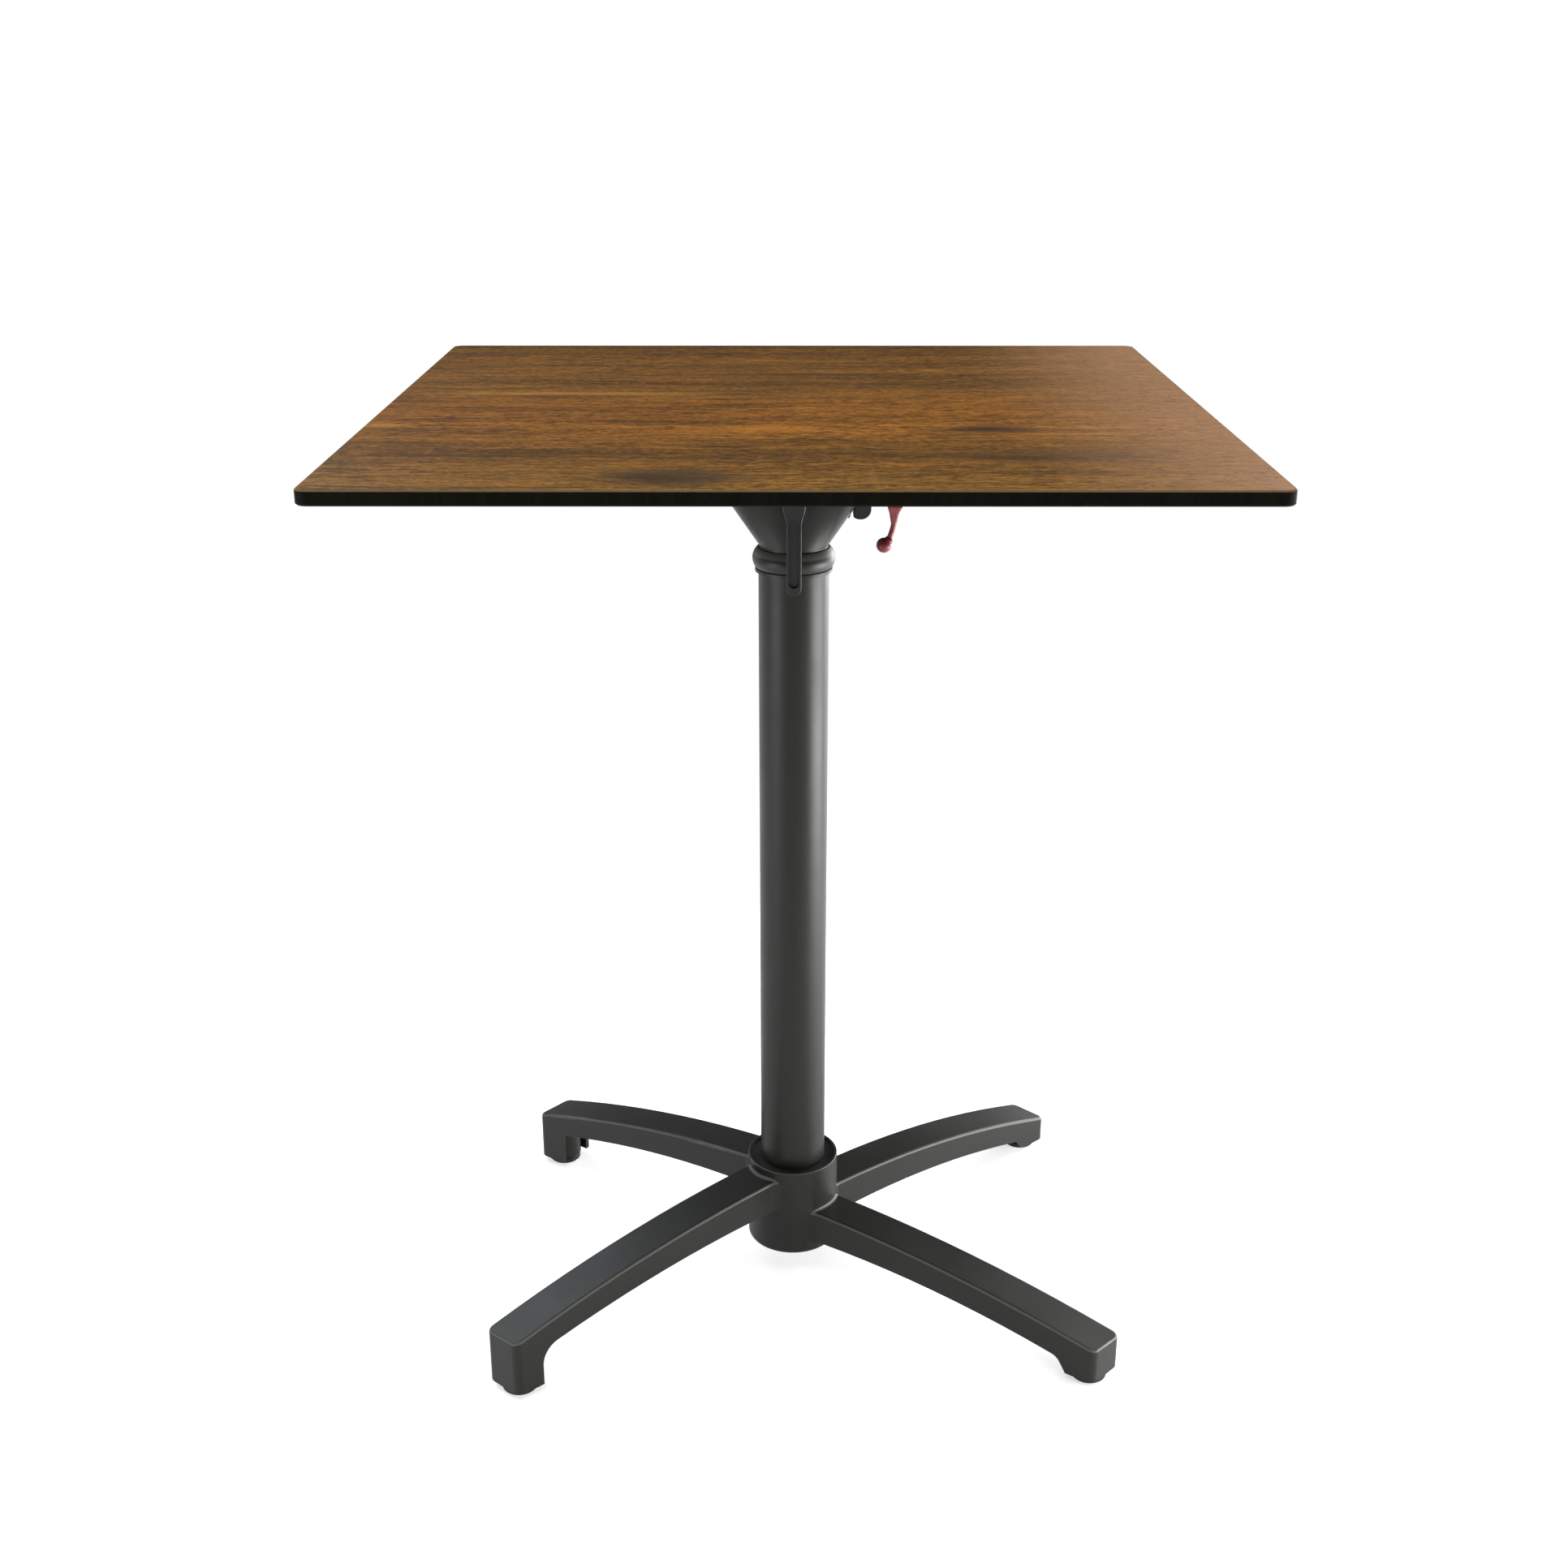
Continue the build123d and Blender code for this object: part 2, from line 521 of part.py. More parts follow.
# ------------------------------------------------------------------ top and its bracket
def screw_places():
    """Centres of the plate screws."""
    return [(x, side * SCREW_Y) for x in SCREW_X for side in (-1, 1)]


def tabletop():
    """Solid laminate board with chamfered edges and blind holes for the inserts."""
    outline = RectangleRounded(TOP_SIZE, TOP_SIZE, TOP_CORNER_RADIUS)
    board = Pos(0, 0, UNDERSIDE) * extrude(outline, TOP_THICKNESS)
    edges = board.faces().sort_by(Axis.Z)[-1].edges() + board.faces().sort_by(Axis.Z)[0].edges()
    board = chamfer(edges, TOP_EDGE_CHAMFER)
    bore_end = UNDERSIDE + TOP_INSERT_LENGTH + 0.5
    for x, y in screw_places():
        board -= upright(TOP_INSERT_RADIUS + SEAT_FIT, UNDERSIDE - 1, bore_end, x, y)
    return board


def top_inserts():
    """Blind threaded sleeves in the board."""
    sleeves = []
    for x, y in screw_places():
        sleeve = upright(TOP_INSERT_RADIUS, UNDERSIDE, UNDERSIDE + TOP_INSERT_LENGTH, x, y)
        bore = upright(SCREW_RADIUS + SEAT_FIT, UNDERSIDE - 1, UNDERSIDE + TOP_INSERT_LENGTH - 0.5, x, y)
        sleeves.append(sleeve - bore)
    return Compound(children=sleeves)


def countersink(x, y, growth):
    """Conical seat or head that widens downwards to the plate's underside."""
    cone = Cone(SCREW_HEAD_RADIUS + growth, SCREW_RADIUS + growth, SCREW_HEAD_HEIGHT)
    return Pos(x, y, PLATE_BOTTOM + SCREW_HEAD_HEIGHT / 2) * cone


def bracket_screws():
    """Countersunk socket screws that hold the plate to the board."""
    screws = []
    for x, y in screw_places():
        shank = upright(SCREW_RADIUS, PLATE_BOTTOM + 1, UNDERSIDE + TOP_INSERT_LENGTH - 1, x, y)
        socket = Pos(x, y, PLATE_BOTTOM - 0.1) * extrude(RegularPolygon(SOCKET_RADIUS, 6), 2.0)
        screws.append(countersink(x, y, 0.0) + shank - socket)
    return Compound(children=screws)


def lug(side):
    """Hinge lug, round at the axle and wide at the plate, with a gusset on its outer face."""
    boss = Pos(0, HINGE_HEIGHT) * Circle(LUG_BOSS_RADIUS)
    foot = Pos(0, PLATE_BOTTOM - 1) * Rectangle(2 * LUG_TOP_HALF_WIDTH, 4)
    outline = make_hull(boss.edges() + foot.edges())
    inner, outer = sorted((side * LUG_INNER, side * LUG_OUTER))
    plate = slab(outline, inner, outer)
    for x in (-GUSSET_PLACE, GUSSET_PLACE):
        near, far = side * (LUG_OUTER - 0.5), side * (LUG_OUTER + 7)
        base = PLATE_BOTTOM + 1
        gusset = Polyline((near, base), (far, base), (near, base - GUSSET_HEIGHT), close=True)
        side_plane = Plane.YZ.offset(x - GUSSET_THICKNESS / 2)
        plate += extrude(side_plane * make_face(gusset), GUSSET_THICKNESS)
    return plate


def top_bracket():
    """Mounting plate with two hinge lugs and the guide housing of the brake."""
    width = PLATE_RIGHT - PLATE_LEFT
    outline = RectangleRounded(width, 2 * PLATE_HALF_DEPTH, PLATE_CORNER)
    outline = Pos((PLATE_LEFT + PLATE_RIGHT) / 2, 0) * outline
    body = Pos(0, 0, PLATE_BOTTOM) * extrude(outline, PLATE_THICKNESS)
    body = fillet(body.faces().sort_by(Axis.Z)[0].edges(), 1.5)
    body += lug(-1) + lug(1)
    guide_foot = HINGE_HEIGHT - 5.4
    for x in GUIDE_WALL_X:
        wall = block(x, x + GUIDE_WALL_THICKNESS, -GUIDE_WALL_HALF_WIDTH, GUIDE_WALL_HALF_WIDTH,
                     guide_foot, PLATE_BOTTOM + 1)
        body += fillet(wall.edges().filter_by(Axis.X).sort_by(Axis.Z)[:2], 4.5)
    for side in (-1, 1):
        inner, outer = sorted((side * HOUSING_CHEEK[0], side * HOUSING_CHEEK[1]))
        body += block(GUIDE_WALL_X[0] + 1, GUIDE_WALL_X[1] + 1, inner, outer,
                      BRAKE_PIVOT_Z - 7, PLATE_BOTTOM + 1)
    body -= lengthwise(ROD_RADIUS + RUNNING_FIT, GUIDE_WALL_X[0] - 1, GUIDE_WALL_X[1] + 6)
    body -= crosswise(BRAKE_PIN_RADIUS + SEAT_FIT, -13, 13, BRAKE_PIVOT_X, BRAKE_PIVOT_Z)
    body -= crosswise(BUSH_RADIUS + SEAT_FIT, -LUG_OUTER - 1, LUG_OUTER + 1)
    for x, y in screw_places():
        hole = upright(SCREW_RADIUS + PLAY, PLATE_BOTTOM - 1, UNDERSIDE + 1, x, y)
        body -= hole + countersink(x, y, SEAT_FIT)
    return body


def hinge_bushes():
    """Flanged plain bushes, pressed into the lugs and turning on the axle."""
    bushes = []
    for side in (-1, 1):
        y0, y1 = sorted((side * LUG_INNER, side * LUG_OUTER))
        f0, f1 = sorted((side * (AXLE_BOSS_REACH + PLAY), side * LUG_INNER))
        bush = crosswise(BUSH_RADIUS, y0, y1) + crosswise(BUSH_FLANGE_RADIUS, f0, f1)
        bushes.append(bush - crosswise(AXLE_RADIUS + RUNNING_FIT, -LUG_OUTER - 1, LUG_OUTER + 1))
    return Compound(children=bushes)


# ------------------------------------------------------------------ brake
def brake_shoe():
    """Round-ended holder of the friction lining, with a pocket for the spring."""
    low, high = HINGE_HEIGHT - SHOE_HALF_HEIGHT, HINGE_HEIGHT + SHOE_HALF_HEIGHT
    body = block(SHOE_FRONT, SHOE_BACK, -SHOE_HALF_WIDTH, SHOE_HALF_WIDTH, low, high)
    body = fillet(body.edges().filter_by(Axis.Y), SHOE_ROUND)
    face = QUADRANT_RADIUS + LINING_CLEARANCE + LINING_THICKNESS
    body -= crosswise(face, -SHOE_HALF_WIDTH - 1, SHOE_HALF_WIDTH + 1)
    body -= lengthwise(ROD_RADIUS + SEAT_FIT, SHOE_FRONT + 7, SHOE_BACK + 1)
    return body - lengthwise(SPRING_COIL_RADIUS + 1.2, SPRING_POCKET, SHOE_BACK + 1)


def brake_lining():
    """Curved friction pad in the shoe's face."""
    inner = QUADRANT_RADIUS + LINING_CLEARANCE
    half = SHOE_HALF_WIDTH - 2
    ring = crosswise(inner + LINING_THICKNESS, -half, half) - crosswise(inner, -half - 1, half + 1)
    low, high = HINGE_HEIGHT - LINING_HALF_HEIGHT, HINGE_HEIGHT + LINING_HALF_HEIGHT
    return ring & block(QUADRANT_RADIUS / 2, SHOE_BACK, -half - 1, half + 1, low, high)


def brake_rod():
    """Round rod that guides the shoe through both housing walls."""
    return lengthwise(ROD_RADIUS, SHOE_FRONT + 7.2, GUIDE_WALL_X[1] + 10)


def brake_rod_collar():
    """Ring on the rod that the lever's fork pushes."""
    ring = lengthwise(ROD_RADIUS + 1.5, ROD_COLLAR_X, ROD_COLLAR_X + ROD_COLLAR_LENGTH)
    return ring - lengthwise(ROD_RADIUS + SEAT_FIT, ROD_COLLAR_X - 1, ROD_COLLAR_X + ROD_COLLAR_LENGTH + 1)


def brake_spring():
    """Return spring between the shoe's pocket and the first guide wall."""
    start, end = SPRING_POCKET + SPRING_WIRE_RADIUS, GUIDE_WALL_X[0] - SPRING_WIRE_RADIUS
    pitch = (end - start) / SPRING_TURNS
    foot = (start, 0, HINGE_HEIGHT)
    path = Helix(pitch, end - start, SPRING_COIL_RADIUS, center=foot, direction=(1, 0, 0))
    return sweep(Plane(origin=path @ 0, z_dir=path % 0) * Circle(SPRING_WIRE_RADIUS), path)


def brake_lever():
    """Release lever: forked round the rod above, slim curved stem and ball below."""
    x, z = BRAKE_PIVOT_X, BRAKE_PIVOT_Z
    half, side = FORK_HALF_LENGTH, FORK_HALF_WIDTH
    low = HINGE_HEIGHT - 9
    body = crosswise(6.0, -side, side, x, z) + block(x - half, x + half, -side, side, low, z)
    body += loft([Pos(x, 0, low) * RectangleRounded(2 * half, 2 * side, 2.0),
                  Pos(x - 0.3, 0, low - 5) * RectangleRounded(7.4, 8.6, 2.0),
                  Pos(x - 0.4, 0, low - 13) * RectangleRounded(4.4, 4.4, 1.9)], ruled=True)
    stem = Spline((x - 0.4, 0, low - 12), (x - 2.0, 0, low - 20), (BALL_X + 1.0, 0, BALL_Z + 1.0),
                  tangents=[(0, 0, -1), (-1, 0, -0.9)])
    body += sweep(Plane(origin=stem @ 0, z_dir=stem % 0) * Circle(2.1), stem)
    body += Pos(BALL_X, 0, BALL_Z) * Sphere(BALL_RADIUS) + Pos(BALL_X + 3.3, 0, BALL_Z + 3.6) * Sphere(3.5)
    body -= block(x - 12, x + 12, -ROD_RADIUS - 0.4, ROD_RADIUS + 0.4, low + 3, HINGE_HEIGHT + 9)
    return body - crosswise(BRAKE_PIN_RADIUS + RUNNING_FIT, -side - 1, side + 1, x, z)


def brake_lever_pin():
    """Pivot pin across the housing cheeks."""
    reach = HOUSING_CHEEK[1] + 1
    return crosswise(BRAKE_PIN_RADIUS, -reach, reach, BRAKE_PIVOT_X, BRAKE_PIVOT_Z)


# ------------------------------------------------------------------ build and write
SINGLE_NODES = [
    base_casting, foot_inserts, base_cap,
    column_tube, hub_seal_ring, column_collar, tie_rod, tie_rod_washer, tie_rod_nut,
    head_casting, rest_buffers, hinge_axle, axle_washers, axle_cap_nut,
    clamp_lever, clamp_lever_insert,
    tabletop, top_inserts, top_bracket, bracket_screws, hinge_bushes,
    brake_shoe, brake_lining, brake_rod, brake_rod_collar, brake_spring, brake_lever, brake_lever_pin,
]

os.makedirs("parts", exist_ok=True)
for build in SINGLE_NODES:
    export_step(build(), f"parts/{build.__name__}.step")
for foot in ARMS:
    export_step(glide_pad(*glide_place(foot)), f"parts/glide_pad_{foot}.step")
    export_step(glide_stem(*glide_place(foot)), f"parts/glide_stem_{foot}.step")
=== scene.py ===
import json
import math

import bpy
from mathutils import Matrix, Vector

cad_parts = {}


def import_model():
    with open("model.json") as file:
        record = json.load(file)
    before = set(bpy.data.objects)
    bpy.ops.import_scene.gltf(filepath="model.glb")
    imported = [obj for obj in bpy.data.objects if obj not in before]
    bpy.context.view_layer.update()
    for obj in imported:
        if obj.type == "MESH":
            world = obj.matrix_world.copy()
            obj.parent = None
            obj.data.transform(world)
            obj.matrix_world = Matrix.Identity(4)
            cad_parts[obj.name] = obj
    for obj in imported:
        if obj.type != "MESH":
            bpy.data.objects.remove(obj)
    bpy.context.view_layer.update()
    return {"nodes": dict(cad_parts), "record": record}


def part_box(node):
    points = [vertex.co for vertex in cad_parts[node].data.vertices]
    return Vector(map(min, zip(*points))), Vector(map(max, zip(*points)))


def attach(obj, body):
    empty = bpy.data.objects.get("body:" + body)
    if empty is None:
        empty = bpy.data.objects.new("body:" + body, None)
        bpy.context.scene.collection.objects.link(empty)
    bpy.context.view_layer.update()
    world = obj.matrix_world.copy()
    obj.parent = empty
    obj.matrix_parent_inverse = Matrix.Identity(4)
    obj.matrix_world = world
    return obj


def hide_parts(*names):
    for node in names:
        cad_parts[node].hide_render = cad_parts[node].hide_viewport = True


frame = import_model()


def srgb(red, green, blue):
    """Linear colour from display values of 0 to 255."""
    return tuple(((v / 255 + 0.055) / 1.055) ** 2.4 if v > 10 else v / 255 / 12.92 for v in (red, green, blue))


# ------------------------------------------------------------------ values, in metres and radians
# Thread on the stems of the feet.
THREAD_PITCH = 0.00125
THREAD_DEPTH = 0.00065
THREAD_STEPS = 48               # points around the stem
THREAD_ROWS = 10                # rows of points in each turn
TIP_LENGTH = 0.001              # chamfer at the stem's upper end
TIP_DEPTH = 0.0009

# Widths of the small roundings on sharp castings.
SOFT_EDGES = (("head_casting", 0.0005), ("top_bracket", 0.0004), ("tie_rod_nut", 0.0003))

# Wood decor: colour bands from the front edge of the board (0) to its back edge (1).
WOOD_BANDS = (
    (0.00, srgb(155, 110, 46)), (0.10, srgb(139, 98, 40)), (0.20, srgb(110, 74, 28)),
    (0.27, srgb(125, 83, 29)), (0.34, srgb(157, 99, 31)), (0.50, srgb(148, 93, 32)),
    (0.58, srgb(126, 84, 33)), (0.64, srgb(110, 75, 31)), (0.80, srgb(124, 83, 33)),
    # The last two stops make the decor darker along its back edge.
    (0.93, srgb(110, 73, 29)), (0.955, srgb(70, 47, 21)), (1.00, srgb(53, 36, 16)),
)
WOOD_DARK = srgb(56, 41, 24)
WOOD_GREY = srgb(74, 58, 36)
WOOD_PALE = srgb(178, 125, 53)
WOOD_HONEY = srgb(176, 114, 40)

# Knots, flecks and lines of the decor: x, y, half length, half width, softness of the rim, shade, strength.
WOOD_MARKS = (
    # knot in the front left quarter
    (-0.076, -0.262, 0.066, 0.040, 0.75, WOOD_GREY, 1.0), (-0.089, -0.265, 0.034, 0.017, 0.8, WOOD_DARK, 0.9),
    # knots and lines on the right
    (0.200, -0.200, 0.130, 0.030, 0.8, WOOD_GREY, 0.8), (0.144, -0.203, 0.050, 0.007, 0.8, WOOD_DARK, 0.6),
    (0.140, -0.104, 0.062, 0.024, 0.9, WOOD_GREY, 0.9), (0.136, -0.103, 0.046, 0.013, 0.9, WOOD_DARK, 0.9),
    (0.215, -0.106, 0.090, 0.0050, 0.8, WOOD_DARK, 0.7), (0.225, -0.093, 0.080, 0.0030, 0.8, WOOD_PALE, 0.8),
    (0.190, -0.120, 0.075, 0.0030, 0.8, WOOD_PALE, 0.8), (0.085, -0.088, 0.060, 0.0030, 0.8, WOOD_PALE, 0.6),
    (0.220, -0.127, 0.080, 0.0028, 0.8, WOOD_DARK, 0.6), (0.120, -0.122, 0.070, 0.0026, 0.8, WOOD_DARK, 0.6),
    (0.170, -0.083, 0.100, 0.0026, 0.8, WOOD_DARK, 0.55),
    # pale fleck at the left edge and short dark flecks in the middle
    (-0.290, -0.089, 0.032, 0.011, 0.9, WOOD_PALE, 0.8), (-0.050, 0.042, 0.032, 0.0026, 0.7, WOOD_DARK, 1.0),
    (-0.056, 0.018, 0.026, 0.0022, 0.7, WOOD_DARK, 1.0), (-0.045, -0.004, 0.030, 0.0024, 0.7, WOOD_DARK, 1.0),
    (-0.040, -0.016, 0.020, 0.0020, 0.7, WOOD_DARK, 0.9), (-0.070, -0.080, 0.018, 0.0030, 0.7, WOOD_DARK, 0.9),
    (-0.045, -0.165, 0.040, 0.0040, 0.7, WOOD_DARK, 0.9), (-0.170, 0.045, 0.170, 0.008, 0.8, WOOD_PALE, 0.6),
    (-0.015, -0.100, 0.055, 0.020, 0.9, WOOD_HONEY, 0.7),
    # long faint lines
    (0.020, 0.135, 0.120, 0.007, 0.8, WOOD_GREY, 0.8), (-0.200, 0.185, 0.100, 0.007, 0.8, WOOD_DARK, 0.55),
    (0.160, 0.210, 0.130, 0.006, 0.8, WOOD_DARK, 0.55), (-0.215, -0.195, 0.085, 0.009, 0.8, WOOD_DARK, 0.6),
    (0.060, -0.050, 0.090, 0.0034, 0.8, WOOD_DARK, 0.5), (-0.190, -0.030, 0.100, 0.0045, 0.8, WOOD_DARK, 0.5),
)

# Room and floor: what they give to light and reflections, and what the camera sees.
WORLD_LEVEL = 0.125
FLOOR_SIZE = 60.0
FLOOR_GREY = 0.86
FLOOR_BOUNCE = 0.2              # extra glow of the floor, for light and reflections
FLOOR_GLOW = 0.6                # the same for the camera
FLOOR_FADE = (0.35, 1.3)        # distances between which the floor turns white

# Lights: name, place, aim, size, brightness of the face, colour.
NEUTRAL = (1.0, 1.0, 1.0)
COOL = (0.86, 0.93, 1.0)
LIGHTS = (
    ("right", (1.45, 1.5, 0.6), (0.0, 0.0, 0.4), (1.3, 1.1), 8.0, NEUTRAL),
    ("right_low", (1.15, -0.1, 0.2), (0.1, 0.1, 0.05), (0.9, 0.4), 14.0, NEUTRAL),
    ("left_back", (-1.9, 1.3, 0.8), (0.0, 0.0, 0.4), (1.4, 1.1), 0.9, NEUTRAL),
    ("left_low", (-1.2, -0.75, 0.3), (-0.15, 0.1, 0.05), (0.8, 0.4), 4.2, NEUTRAL),
    ("back_left_high", (-1.35, 1.35, 1.95), (-0.2, -0.1, 0.05), (1.4, 1.2), 3.3, COOL),
    ("top", (0.0, -0.2, 2.9), (0.0, 0.0, 0.5), (3.2, 3.2), 2.25, NEUTRAL),
)

CAMERA_DISTANCE = 1.4243
CAMERA_HEIGHT = 0.9835
CAMERA_PITCH = math.radians(20.93)
CAMERA_ORBIT = math.radians(0.18)
CAMERA_PAN = math.radians(0.30)
CAMERA_LENS = 43.99             # millimetres, like the sensor
CAMERA_SENSOR = 36.0


# ------------------------------------------------------------------ shader helpers
class Shader:
    """A material and short ways to add and link its nodes."""

    def __init__(self, name):
        self.material = bpy.data.materials.new(name)
        self.material.use_nodes = True
        self.tree = self.material.node_tree
        self.tree.nodes.clear()
        self.output = self.tree.nodes.new("ShaderNodeOutputMaterial")
        self.surface = self.tree.nodes.new("ShaderNodeBsdfPrincipled")
        self.tree.links.new(self.surface.outputs[0], self.output.inputs["Surface"])
        self.place = self.tree.nodes.new("ShaderNodeTexCoord")

    def put(self, target, value):
        """Set a socket to a constant, or link it to another node's output."""
        if isinstance(value, bpy.types.NodeSocket):
            self.tree.links.new(value, target)
        else:
            target.default_value = value

    def base(self, **values):
        """Set the surface's sockets by name, with _ for each space."""
        for name, value in values.items():
            self.put(self.surface.inputs[name.replace("_", " ")], value)

    def stretched(self, x, y, z, shift=(0.0, 0.0, 0.0), source=None):
        """Coordinates times a scale on each axis, plus a shift."""
        node = self.tree.nodes.new("ShaderNodeMapping")
        self.put(node.inputs["Vector"], source or self.place.outputs["Object"])
        node.inputs["Scale"].default_value = (x, y, z)
        node.inputs["Location"].default_value = shift
        return node.outputs[0]

    def pushed(self, amount, reach, source):
        """Coordinates moved along a fixed reach by a varying amount."""
        node = self.tree.nodes.new("ShaderNodeVectorMath")
        node.operation = "MULTIPLY_ADD"
        self.put(node.inputs[0], amount)
        node.inputs[1].default_value = reach
        self.put(node.inputs[2], source)
        return node.outputs[0]

    def length(self, vector):
        """Length of a vector."""
        node = self.tree.nodes.new("ShaderNodeVectorMath")
        node.operation = "LENGTH"
        self.put(node.inputs[0], vector)
        return node.outputs["Value"]

    def noise(self, vector, scale, detail, roughness):
        """Cloudy noise of about 0.3 to 0.7."""
        node = self.tree.nodes.new("ShaderNodeTexNoise")
        self.put(node.inputs["Vector"], vector)
        node.inputs["Scale"].default_value = scale
        node.inputs["Detail"].default_value = detail
        node.inputs["Roughness"].default_value = roughness
        return node.outputs["Fac"]

    def ramp(self, factor, stops):
        """Colour read off a row of stops, each a position and a colour."""
        node = self.tree.nodes.new("ShaderNodeValToRGB")
        self.put(node.inputs[0], factor)
        while len(node.color_ramp.elements) < len(stops):
            node.color_ramp.elements.new(0.5)
        for element, (position, colour) in zip(node.color_ramp.elements, stops):
            element.position = position
            element.color = (*colour, 1.0)
        return node.outputs[0]

    def level(self, factor, low, high, low_value=0.0, high_value=1.0, curve="SMOOTHSTEP"):
        """Remap a factor between two levels, clamped at both."""
        node = self.tree.nodes.new("ShaderNodeMapRange")
        node.interpolation_type = curve
        for socket, value in zip(node.inputs[:5], (factor, low, high, low_value, high_value)):
            self.put(socket, value)
        return node.outputs[0]

    def math(self, operation, first, second):
        """Two factors joined by a Blender math operation."""
        node = self.tree.nodes.new("ShaderNodeMath")
        node.operation = operation
        self.put(node.inputs[0], first)
        self.put(node.inputs[1], second)
        return node.outputs[0]

    def mix(self, factor, first, second):
        """The first colour where the factor is 0, the second where it is 1."""
        node = self.tree.nodes.new("ShaderNodeMix")
        node.data_type = "RGBA"
        self.put(node.inputs[0], factor)
        for socket, value in ((node.inputs[6], first), (node.inputs[7], second)):
            self.put(socket, (*value, 1.0) if isinstance(value, tuple) else value)
        return node.outputs[2]

    def tint(self, colour, factor, start, full, strength, shade):
        """Lay a shade over a colour as a factor goes from start to full, up to a strength."""
        return self.mix(self.level(factor, start, full, 0.0, strength), colour, shade)

    def split(self, vector):
        """The x, y and z of a vector."""
        node = self.tree.nodes.new("ShaderNodeSeparateXYZ")
        self.put(node.inputs[0], vector)
        return node.outputs

    def upward(self):
        """How far the surface faces up on its own part: 1 on a level top, -1 underneath."""
        return self.split(self.place.outputs["Normal"])[2]

    def bump(self, height, distance, strength):
        """Fine relief of a given depth."""
        node = self.tree.nodes.new("ShaderNodeBump")
        self.put(node.inputs["Height"], height)
        node.inputs["Distance"].default_value = distance
        node.inputs["Strength"].default_value = strength
        return node.outputs[0]

    def glowing(self, strength):
        """The surface with an even glow added to it."""
        glow = self.tree.nodes.new("ShaderNodeEmission")
        glow.inputs["Strength"].default_value = strength
        both = self.tree.nodes.new("ShaderNodeAddShader")
        self.put(both.inputs[0], self.surface.outputs[0])
        self.put(both.inputs[1], glow.outputs[0])
        return both.outputs[0]


# ------------------------------------------------------------------ materials
def rubbed_and_highlit_edges(s):
    """1 on roundings between upright and level faces, where wear rubs and a highlight is painted; 0 on the faces
    themselves.
    """
    upward = s.upward()
    return s.math("MULTIPLY", s.level(upward, 0.22, 0.45), s.level(upward, 0.80, 0.93, 1.0, 0.0))


def powder_coat():
    """Anthracite powder coat: fine orange peel, satin, slightly uneven, brighter on the upper edges from wear
    and a painted highlight.
    """
    s = Shader("powder_coat")
    place = s.stretched(1, 1, 1)
    peel = s.noise(place, 1500.0, 3.0, 0.55)
    cloud = s.noise(place, 16.0, 4.0, 0.6)
    speck = s.level(s.noise(place, 5200.0, 1.0, 0.5), 0.62, 0.72)
    coat = s.mix(cloud, srgb(28, 28, 25), srgb(35, 35, 31))
    # Paler on the upper roundings: edge wear plus a painted highlight along the crown edges.
    coat = s.mix(s.math("MULTIPLY", rubbed_and_highlit_edges(s), 0.75), coat, srgb(102, 103, 97))
    coat = s.mix(s.math("MULTIPLY", speck, 0.25), coat, srgb(78, 79, 76))
    s.base(Base_Color=coat, Roughness=s.level(cloud, 0.3, 0.7, 0.36, 0.44),
           Normal=s.bump(peel, 0.00012, 0.35), Specular_IOR_Level=0.38)
    return s.material


def plastic(name, dark, light, roughness):
    """Moulded plastic or rubber: fine spark-eroded grain and faint tone changes."""
    s = Shader(name)
    fine = s.noise(s.stretched(1, 1, 1), 3200.0, 2.0, 0.6)
    cloud = s.noise(s.stretched(1, 1, 1), 30.0, 3.0, 0.6)
    s.base(Base_Color=s.mix(cloud, dark, light),
           Roughness=s.level(cloud, 0.3, 0.7, roughness - 0.05, roughness + 0.06),
           Normal=s.bump(fine, 0.00015, 0.3))
    return s.material


def metal(name, colour, roughness):
    """Bare or plated metal with fine drawing lines along its height."""
    s = Shader(name)
    line = s.noise(s.stretched(900.0, 900.0, 60.0), 1.0, 3.0, 0.6)
    s.base(Base_Color=s.mix(line, tuple(0.8 * c for c in colour), colour), Metallic=1.0,
           Roughness=s.level(line, 0.3, 0.7, roughness - 0.06, roughness + 0.08),
           Normal=s.bump(line, 0.00003, 0.4))
    return s.material


def patch(s, place, x, y, length, width, soft):
    """1 inside an ellipse on the top, fading to 0 at its rim; sizes are half axes."""
    flat = s.stretched(1 / length, 1 / width, 0.0, (-x / length, -y / width, 0.0), place)
    return s.level(s.length(flat), 1.0 - soft, 1.0, 1.0, 0.0)


def wood_bands(s, grain, broad):
    """Ground colour of the decor: wide bands that run left to right with ragged rims."""
    ragged = s.math("MULTIPLY", s.math("SUBTRACT", broad, 0.5), 0.06)
    depth = s.math("ADD", s.split(grain)[1], ragged)
    return s.ramp(s.level(depth, -0.31, 0.31, curve="LINEAR"), WOOD_BANDS)


def wood_marks(s, colour, middle):
    """Knots, flecks and lines over the ground colour, with outlines broken up by the grain."""
    loose = s.pushed(s.math("SUBTRACT", middle, 0.5), (0.05, 0.016, 0.0), s.place.outputs["Object"])
    for x, y, length, width, soft, shade, strength in WOOD_MARKS:
        mark = s.math("MULTIPLY", patch(s, loose, x, y, length, width, soft), strength)
        colour = s.mix(mark, colour, shade)
    return colour


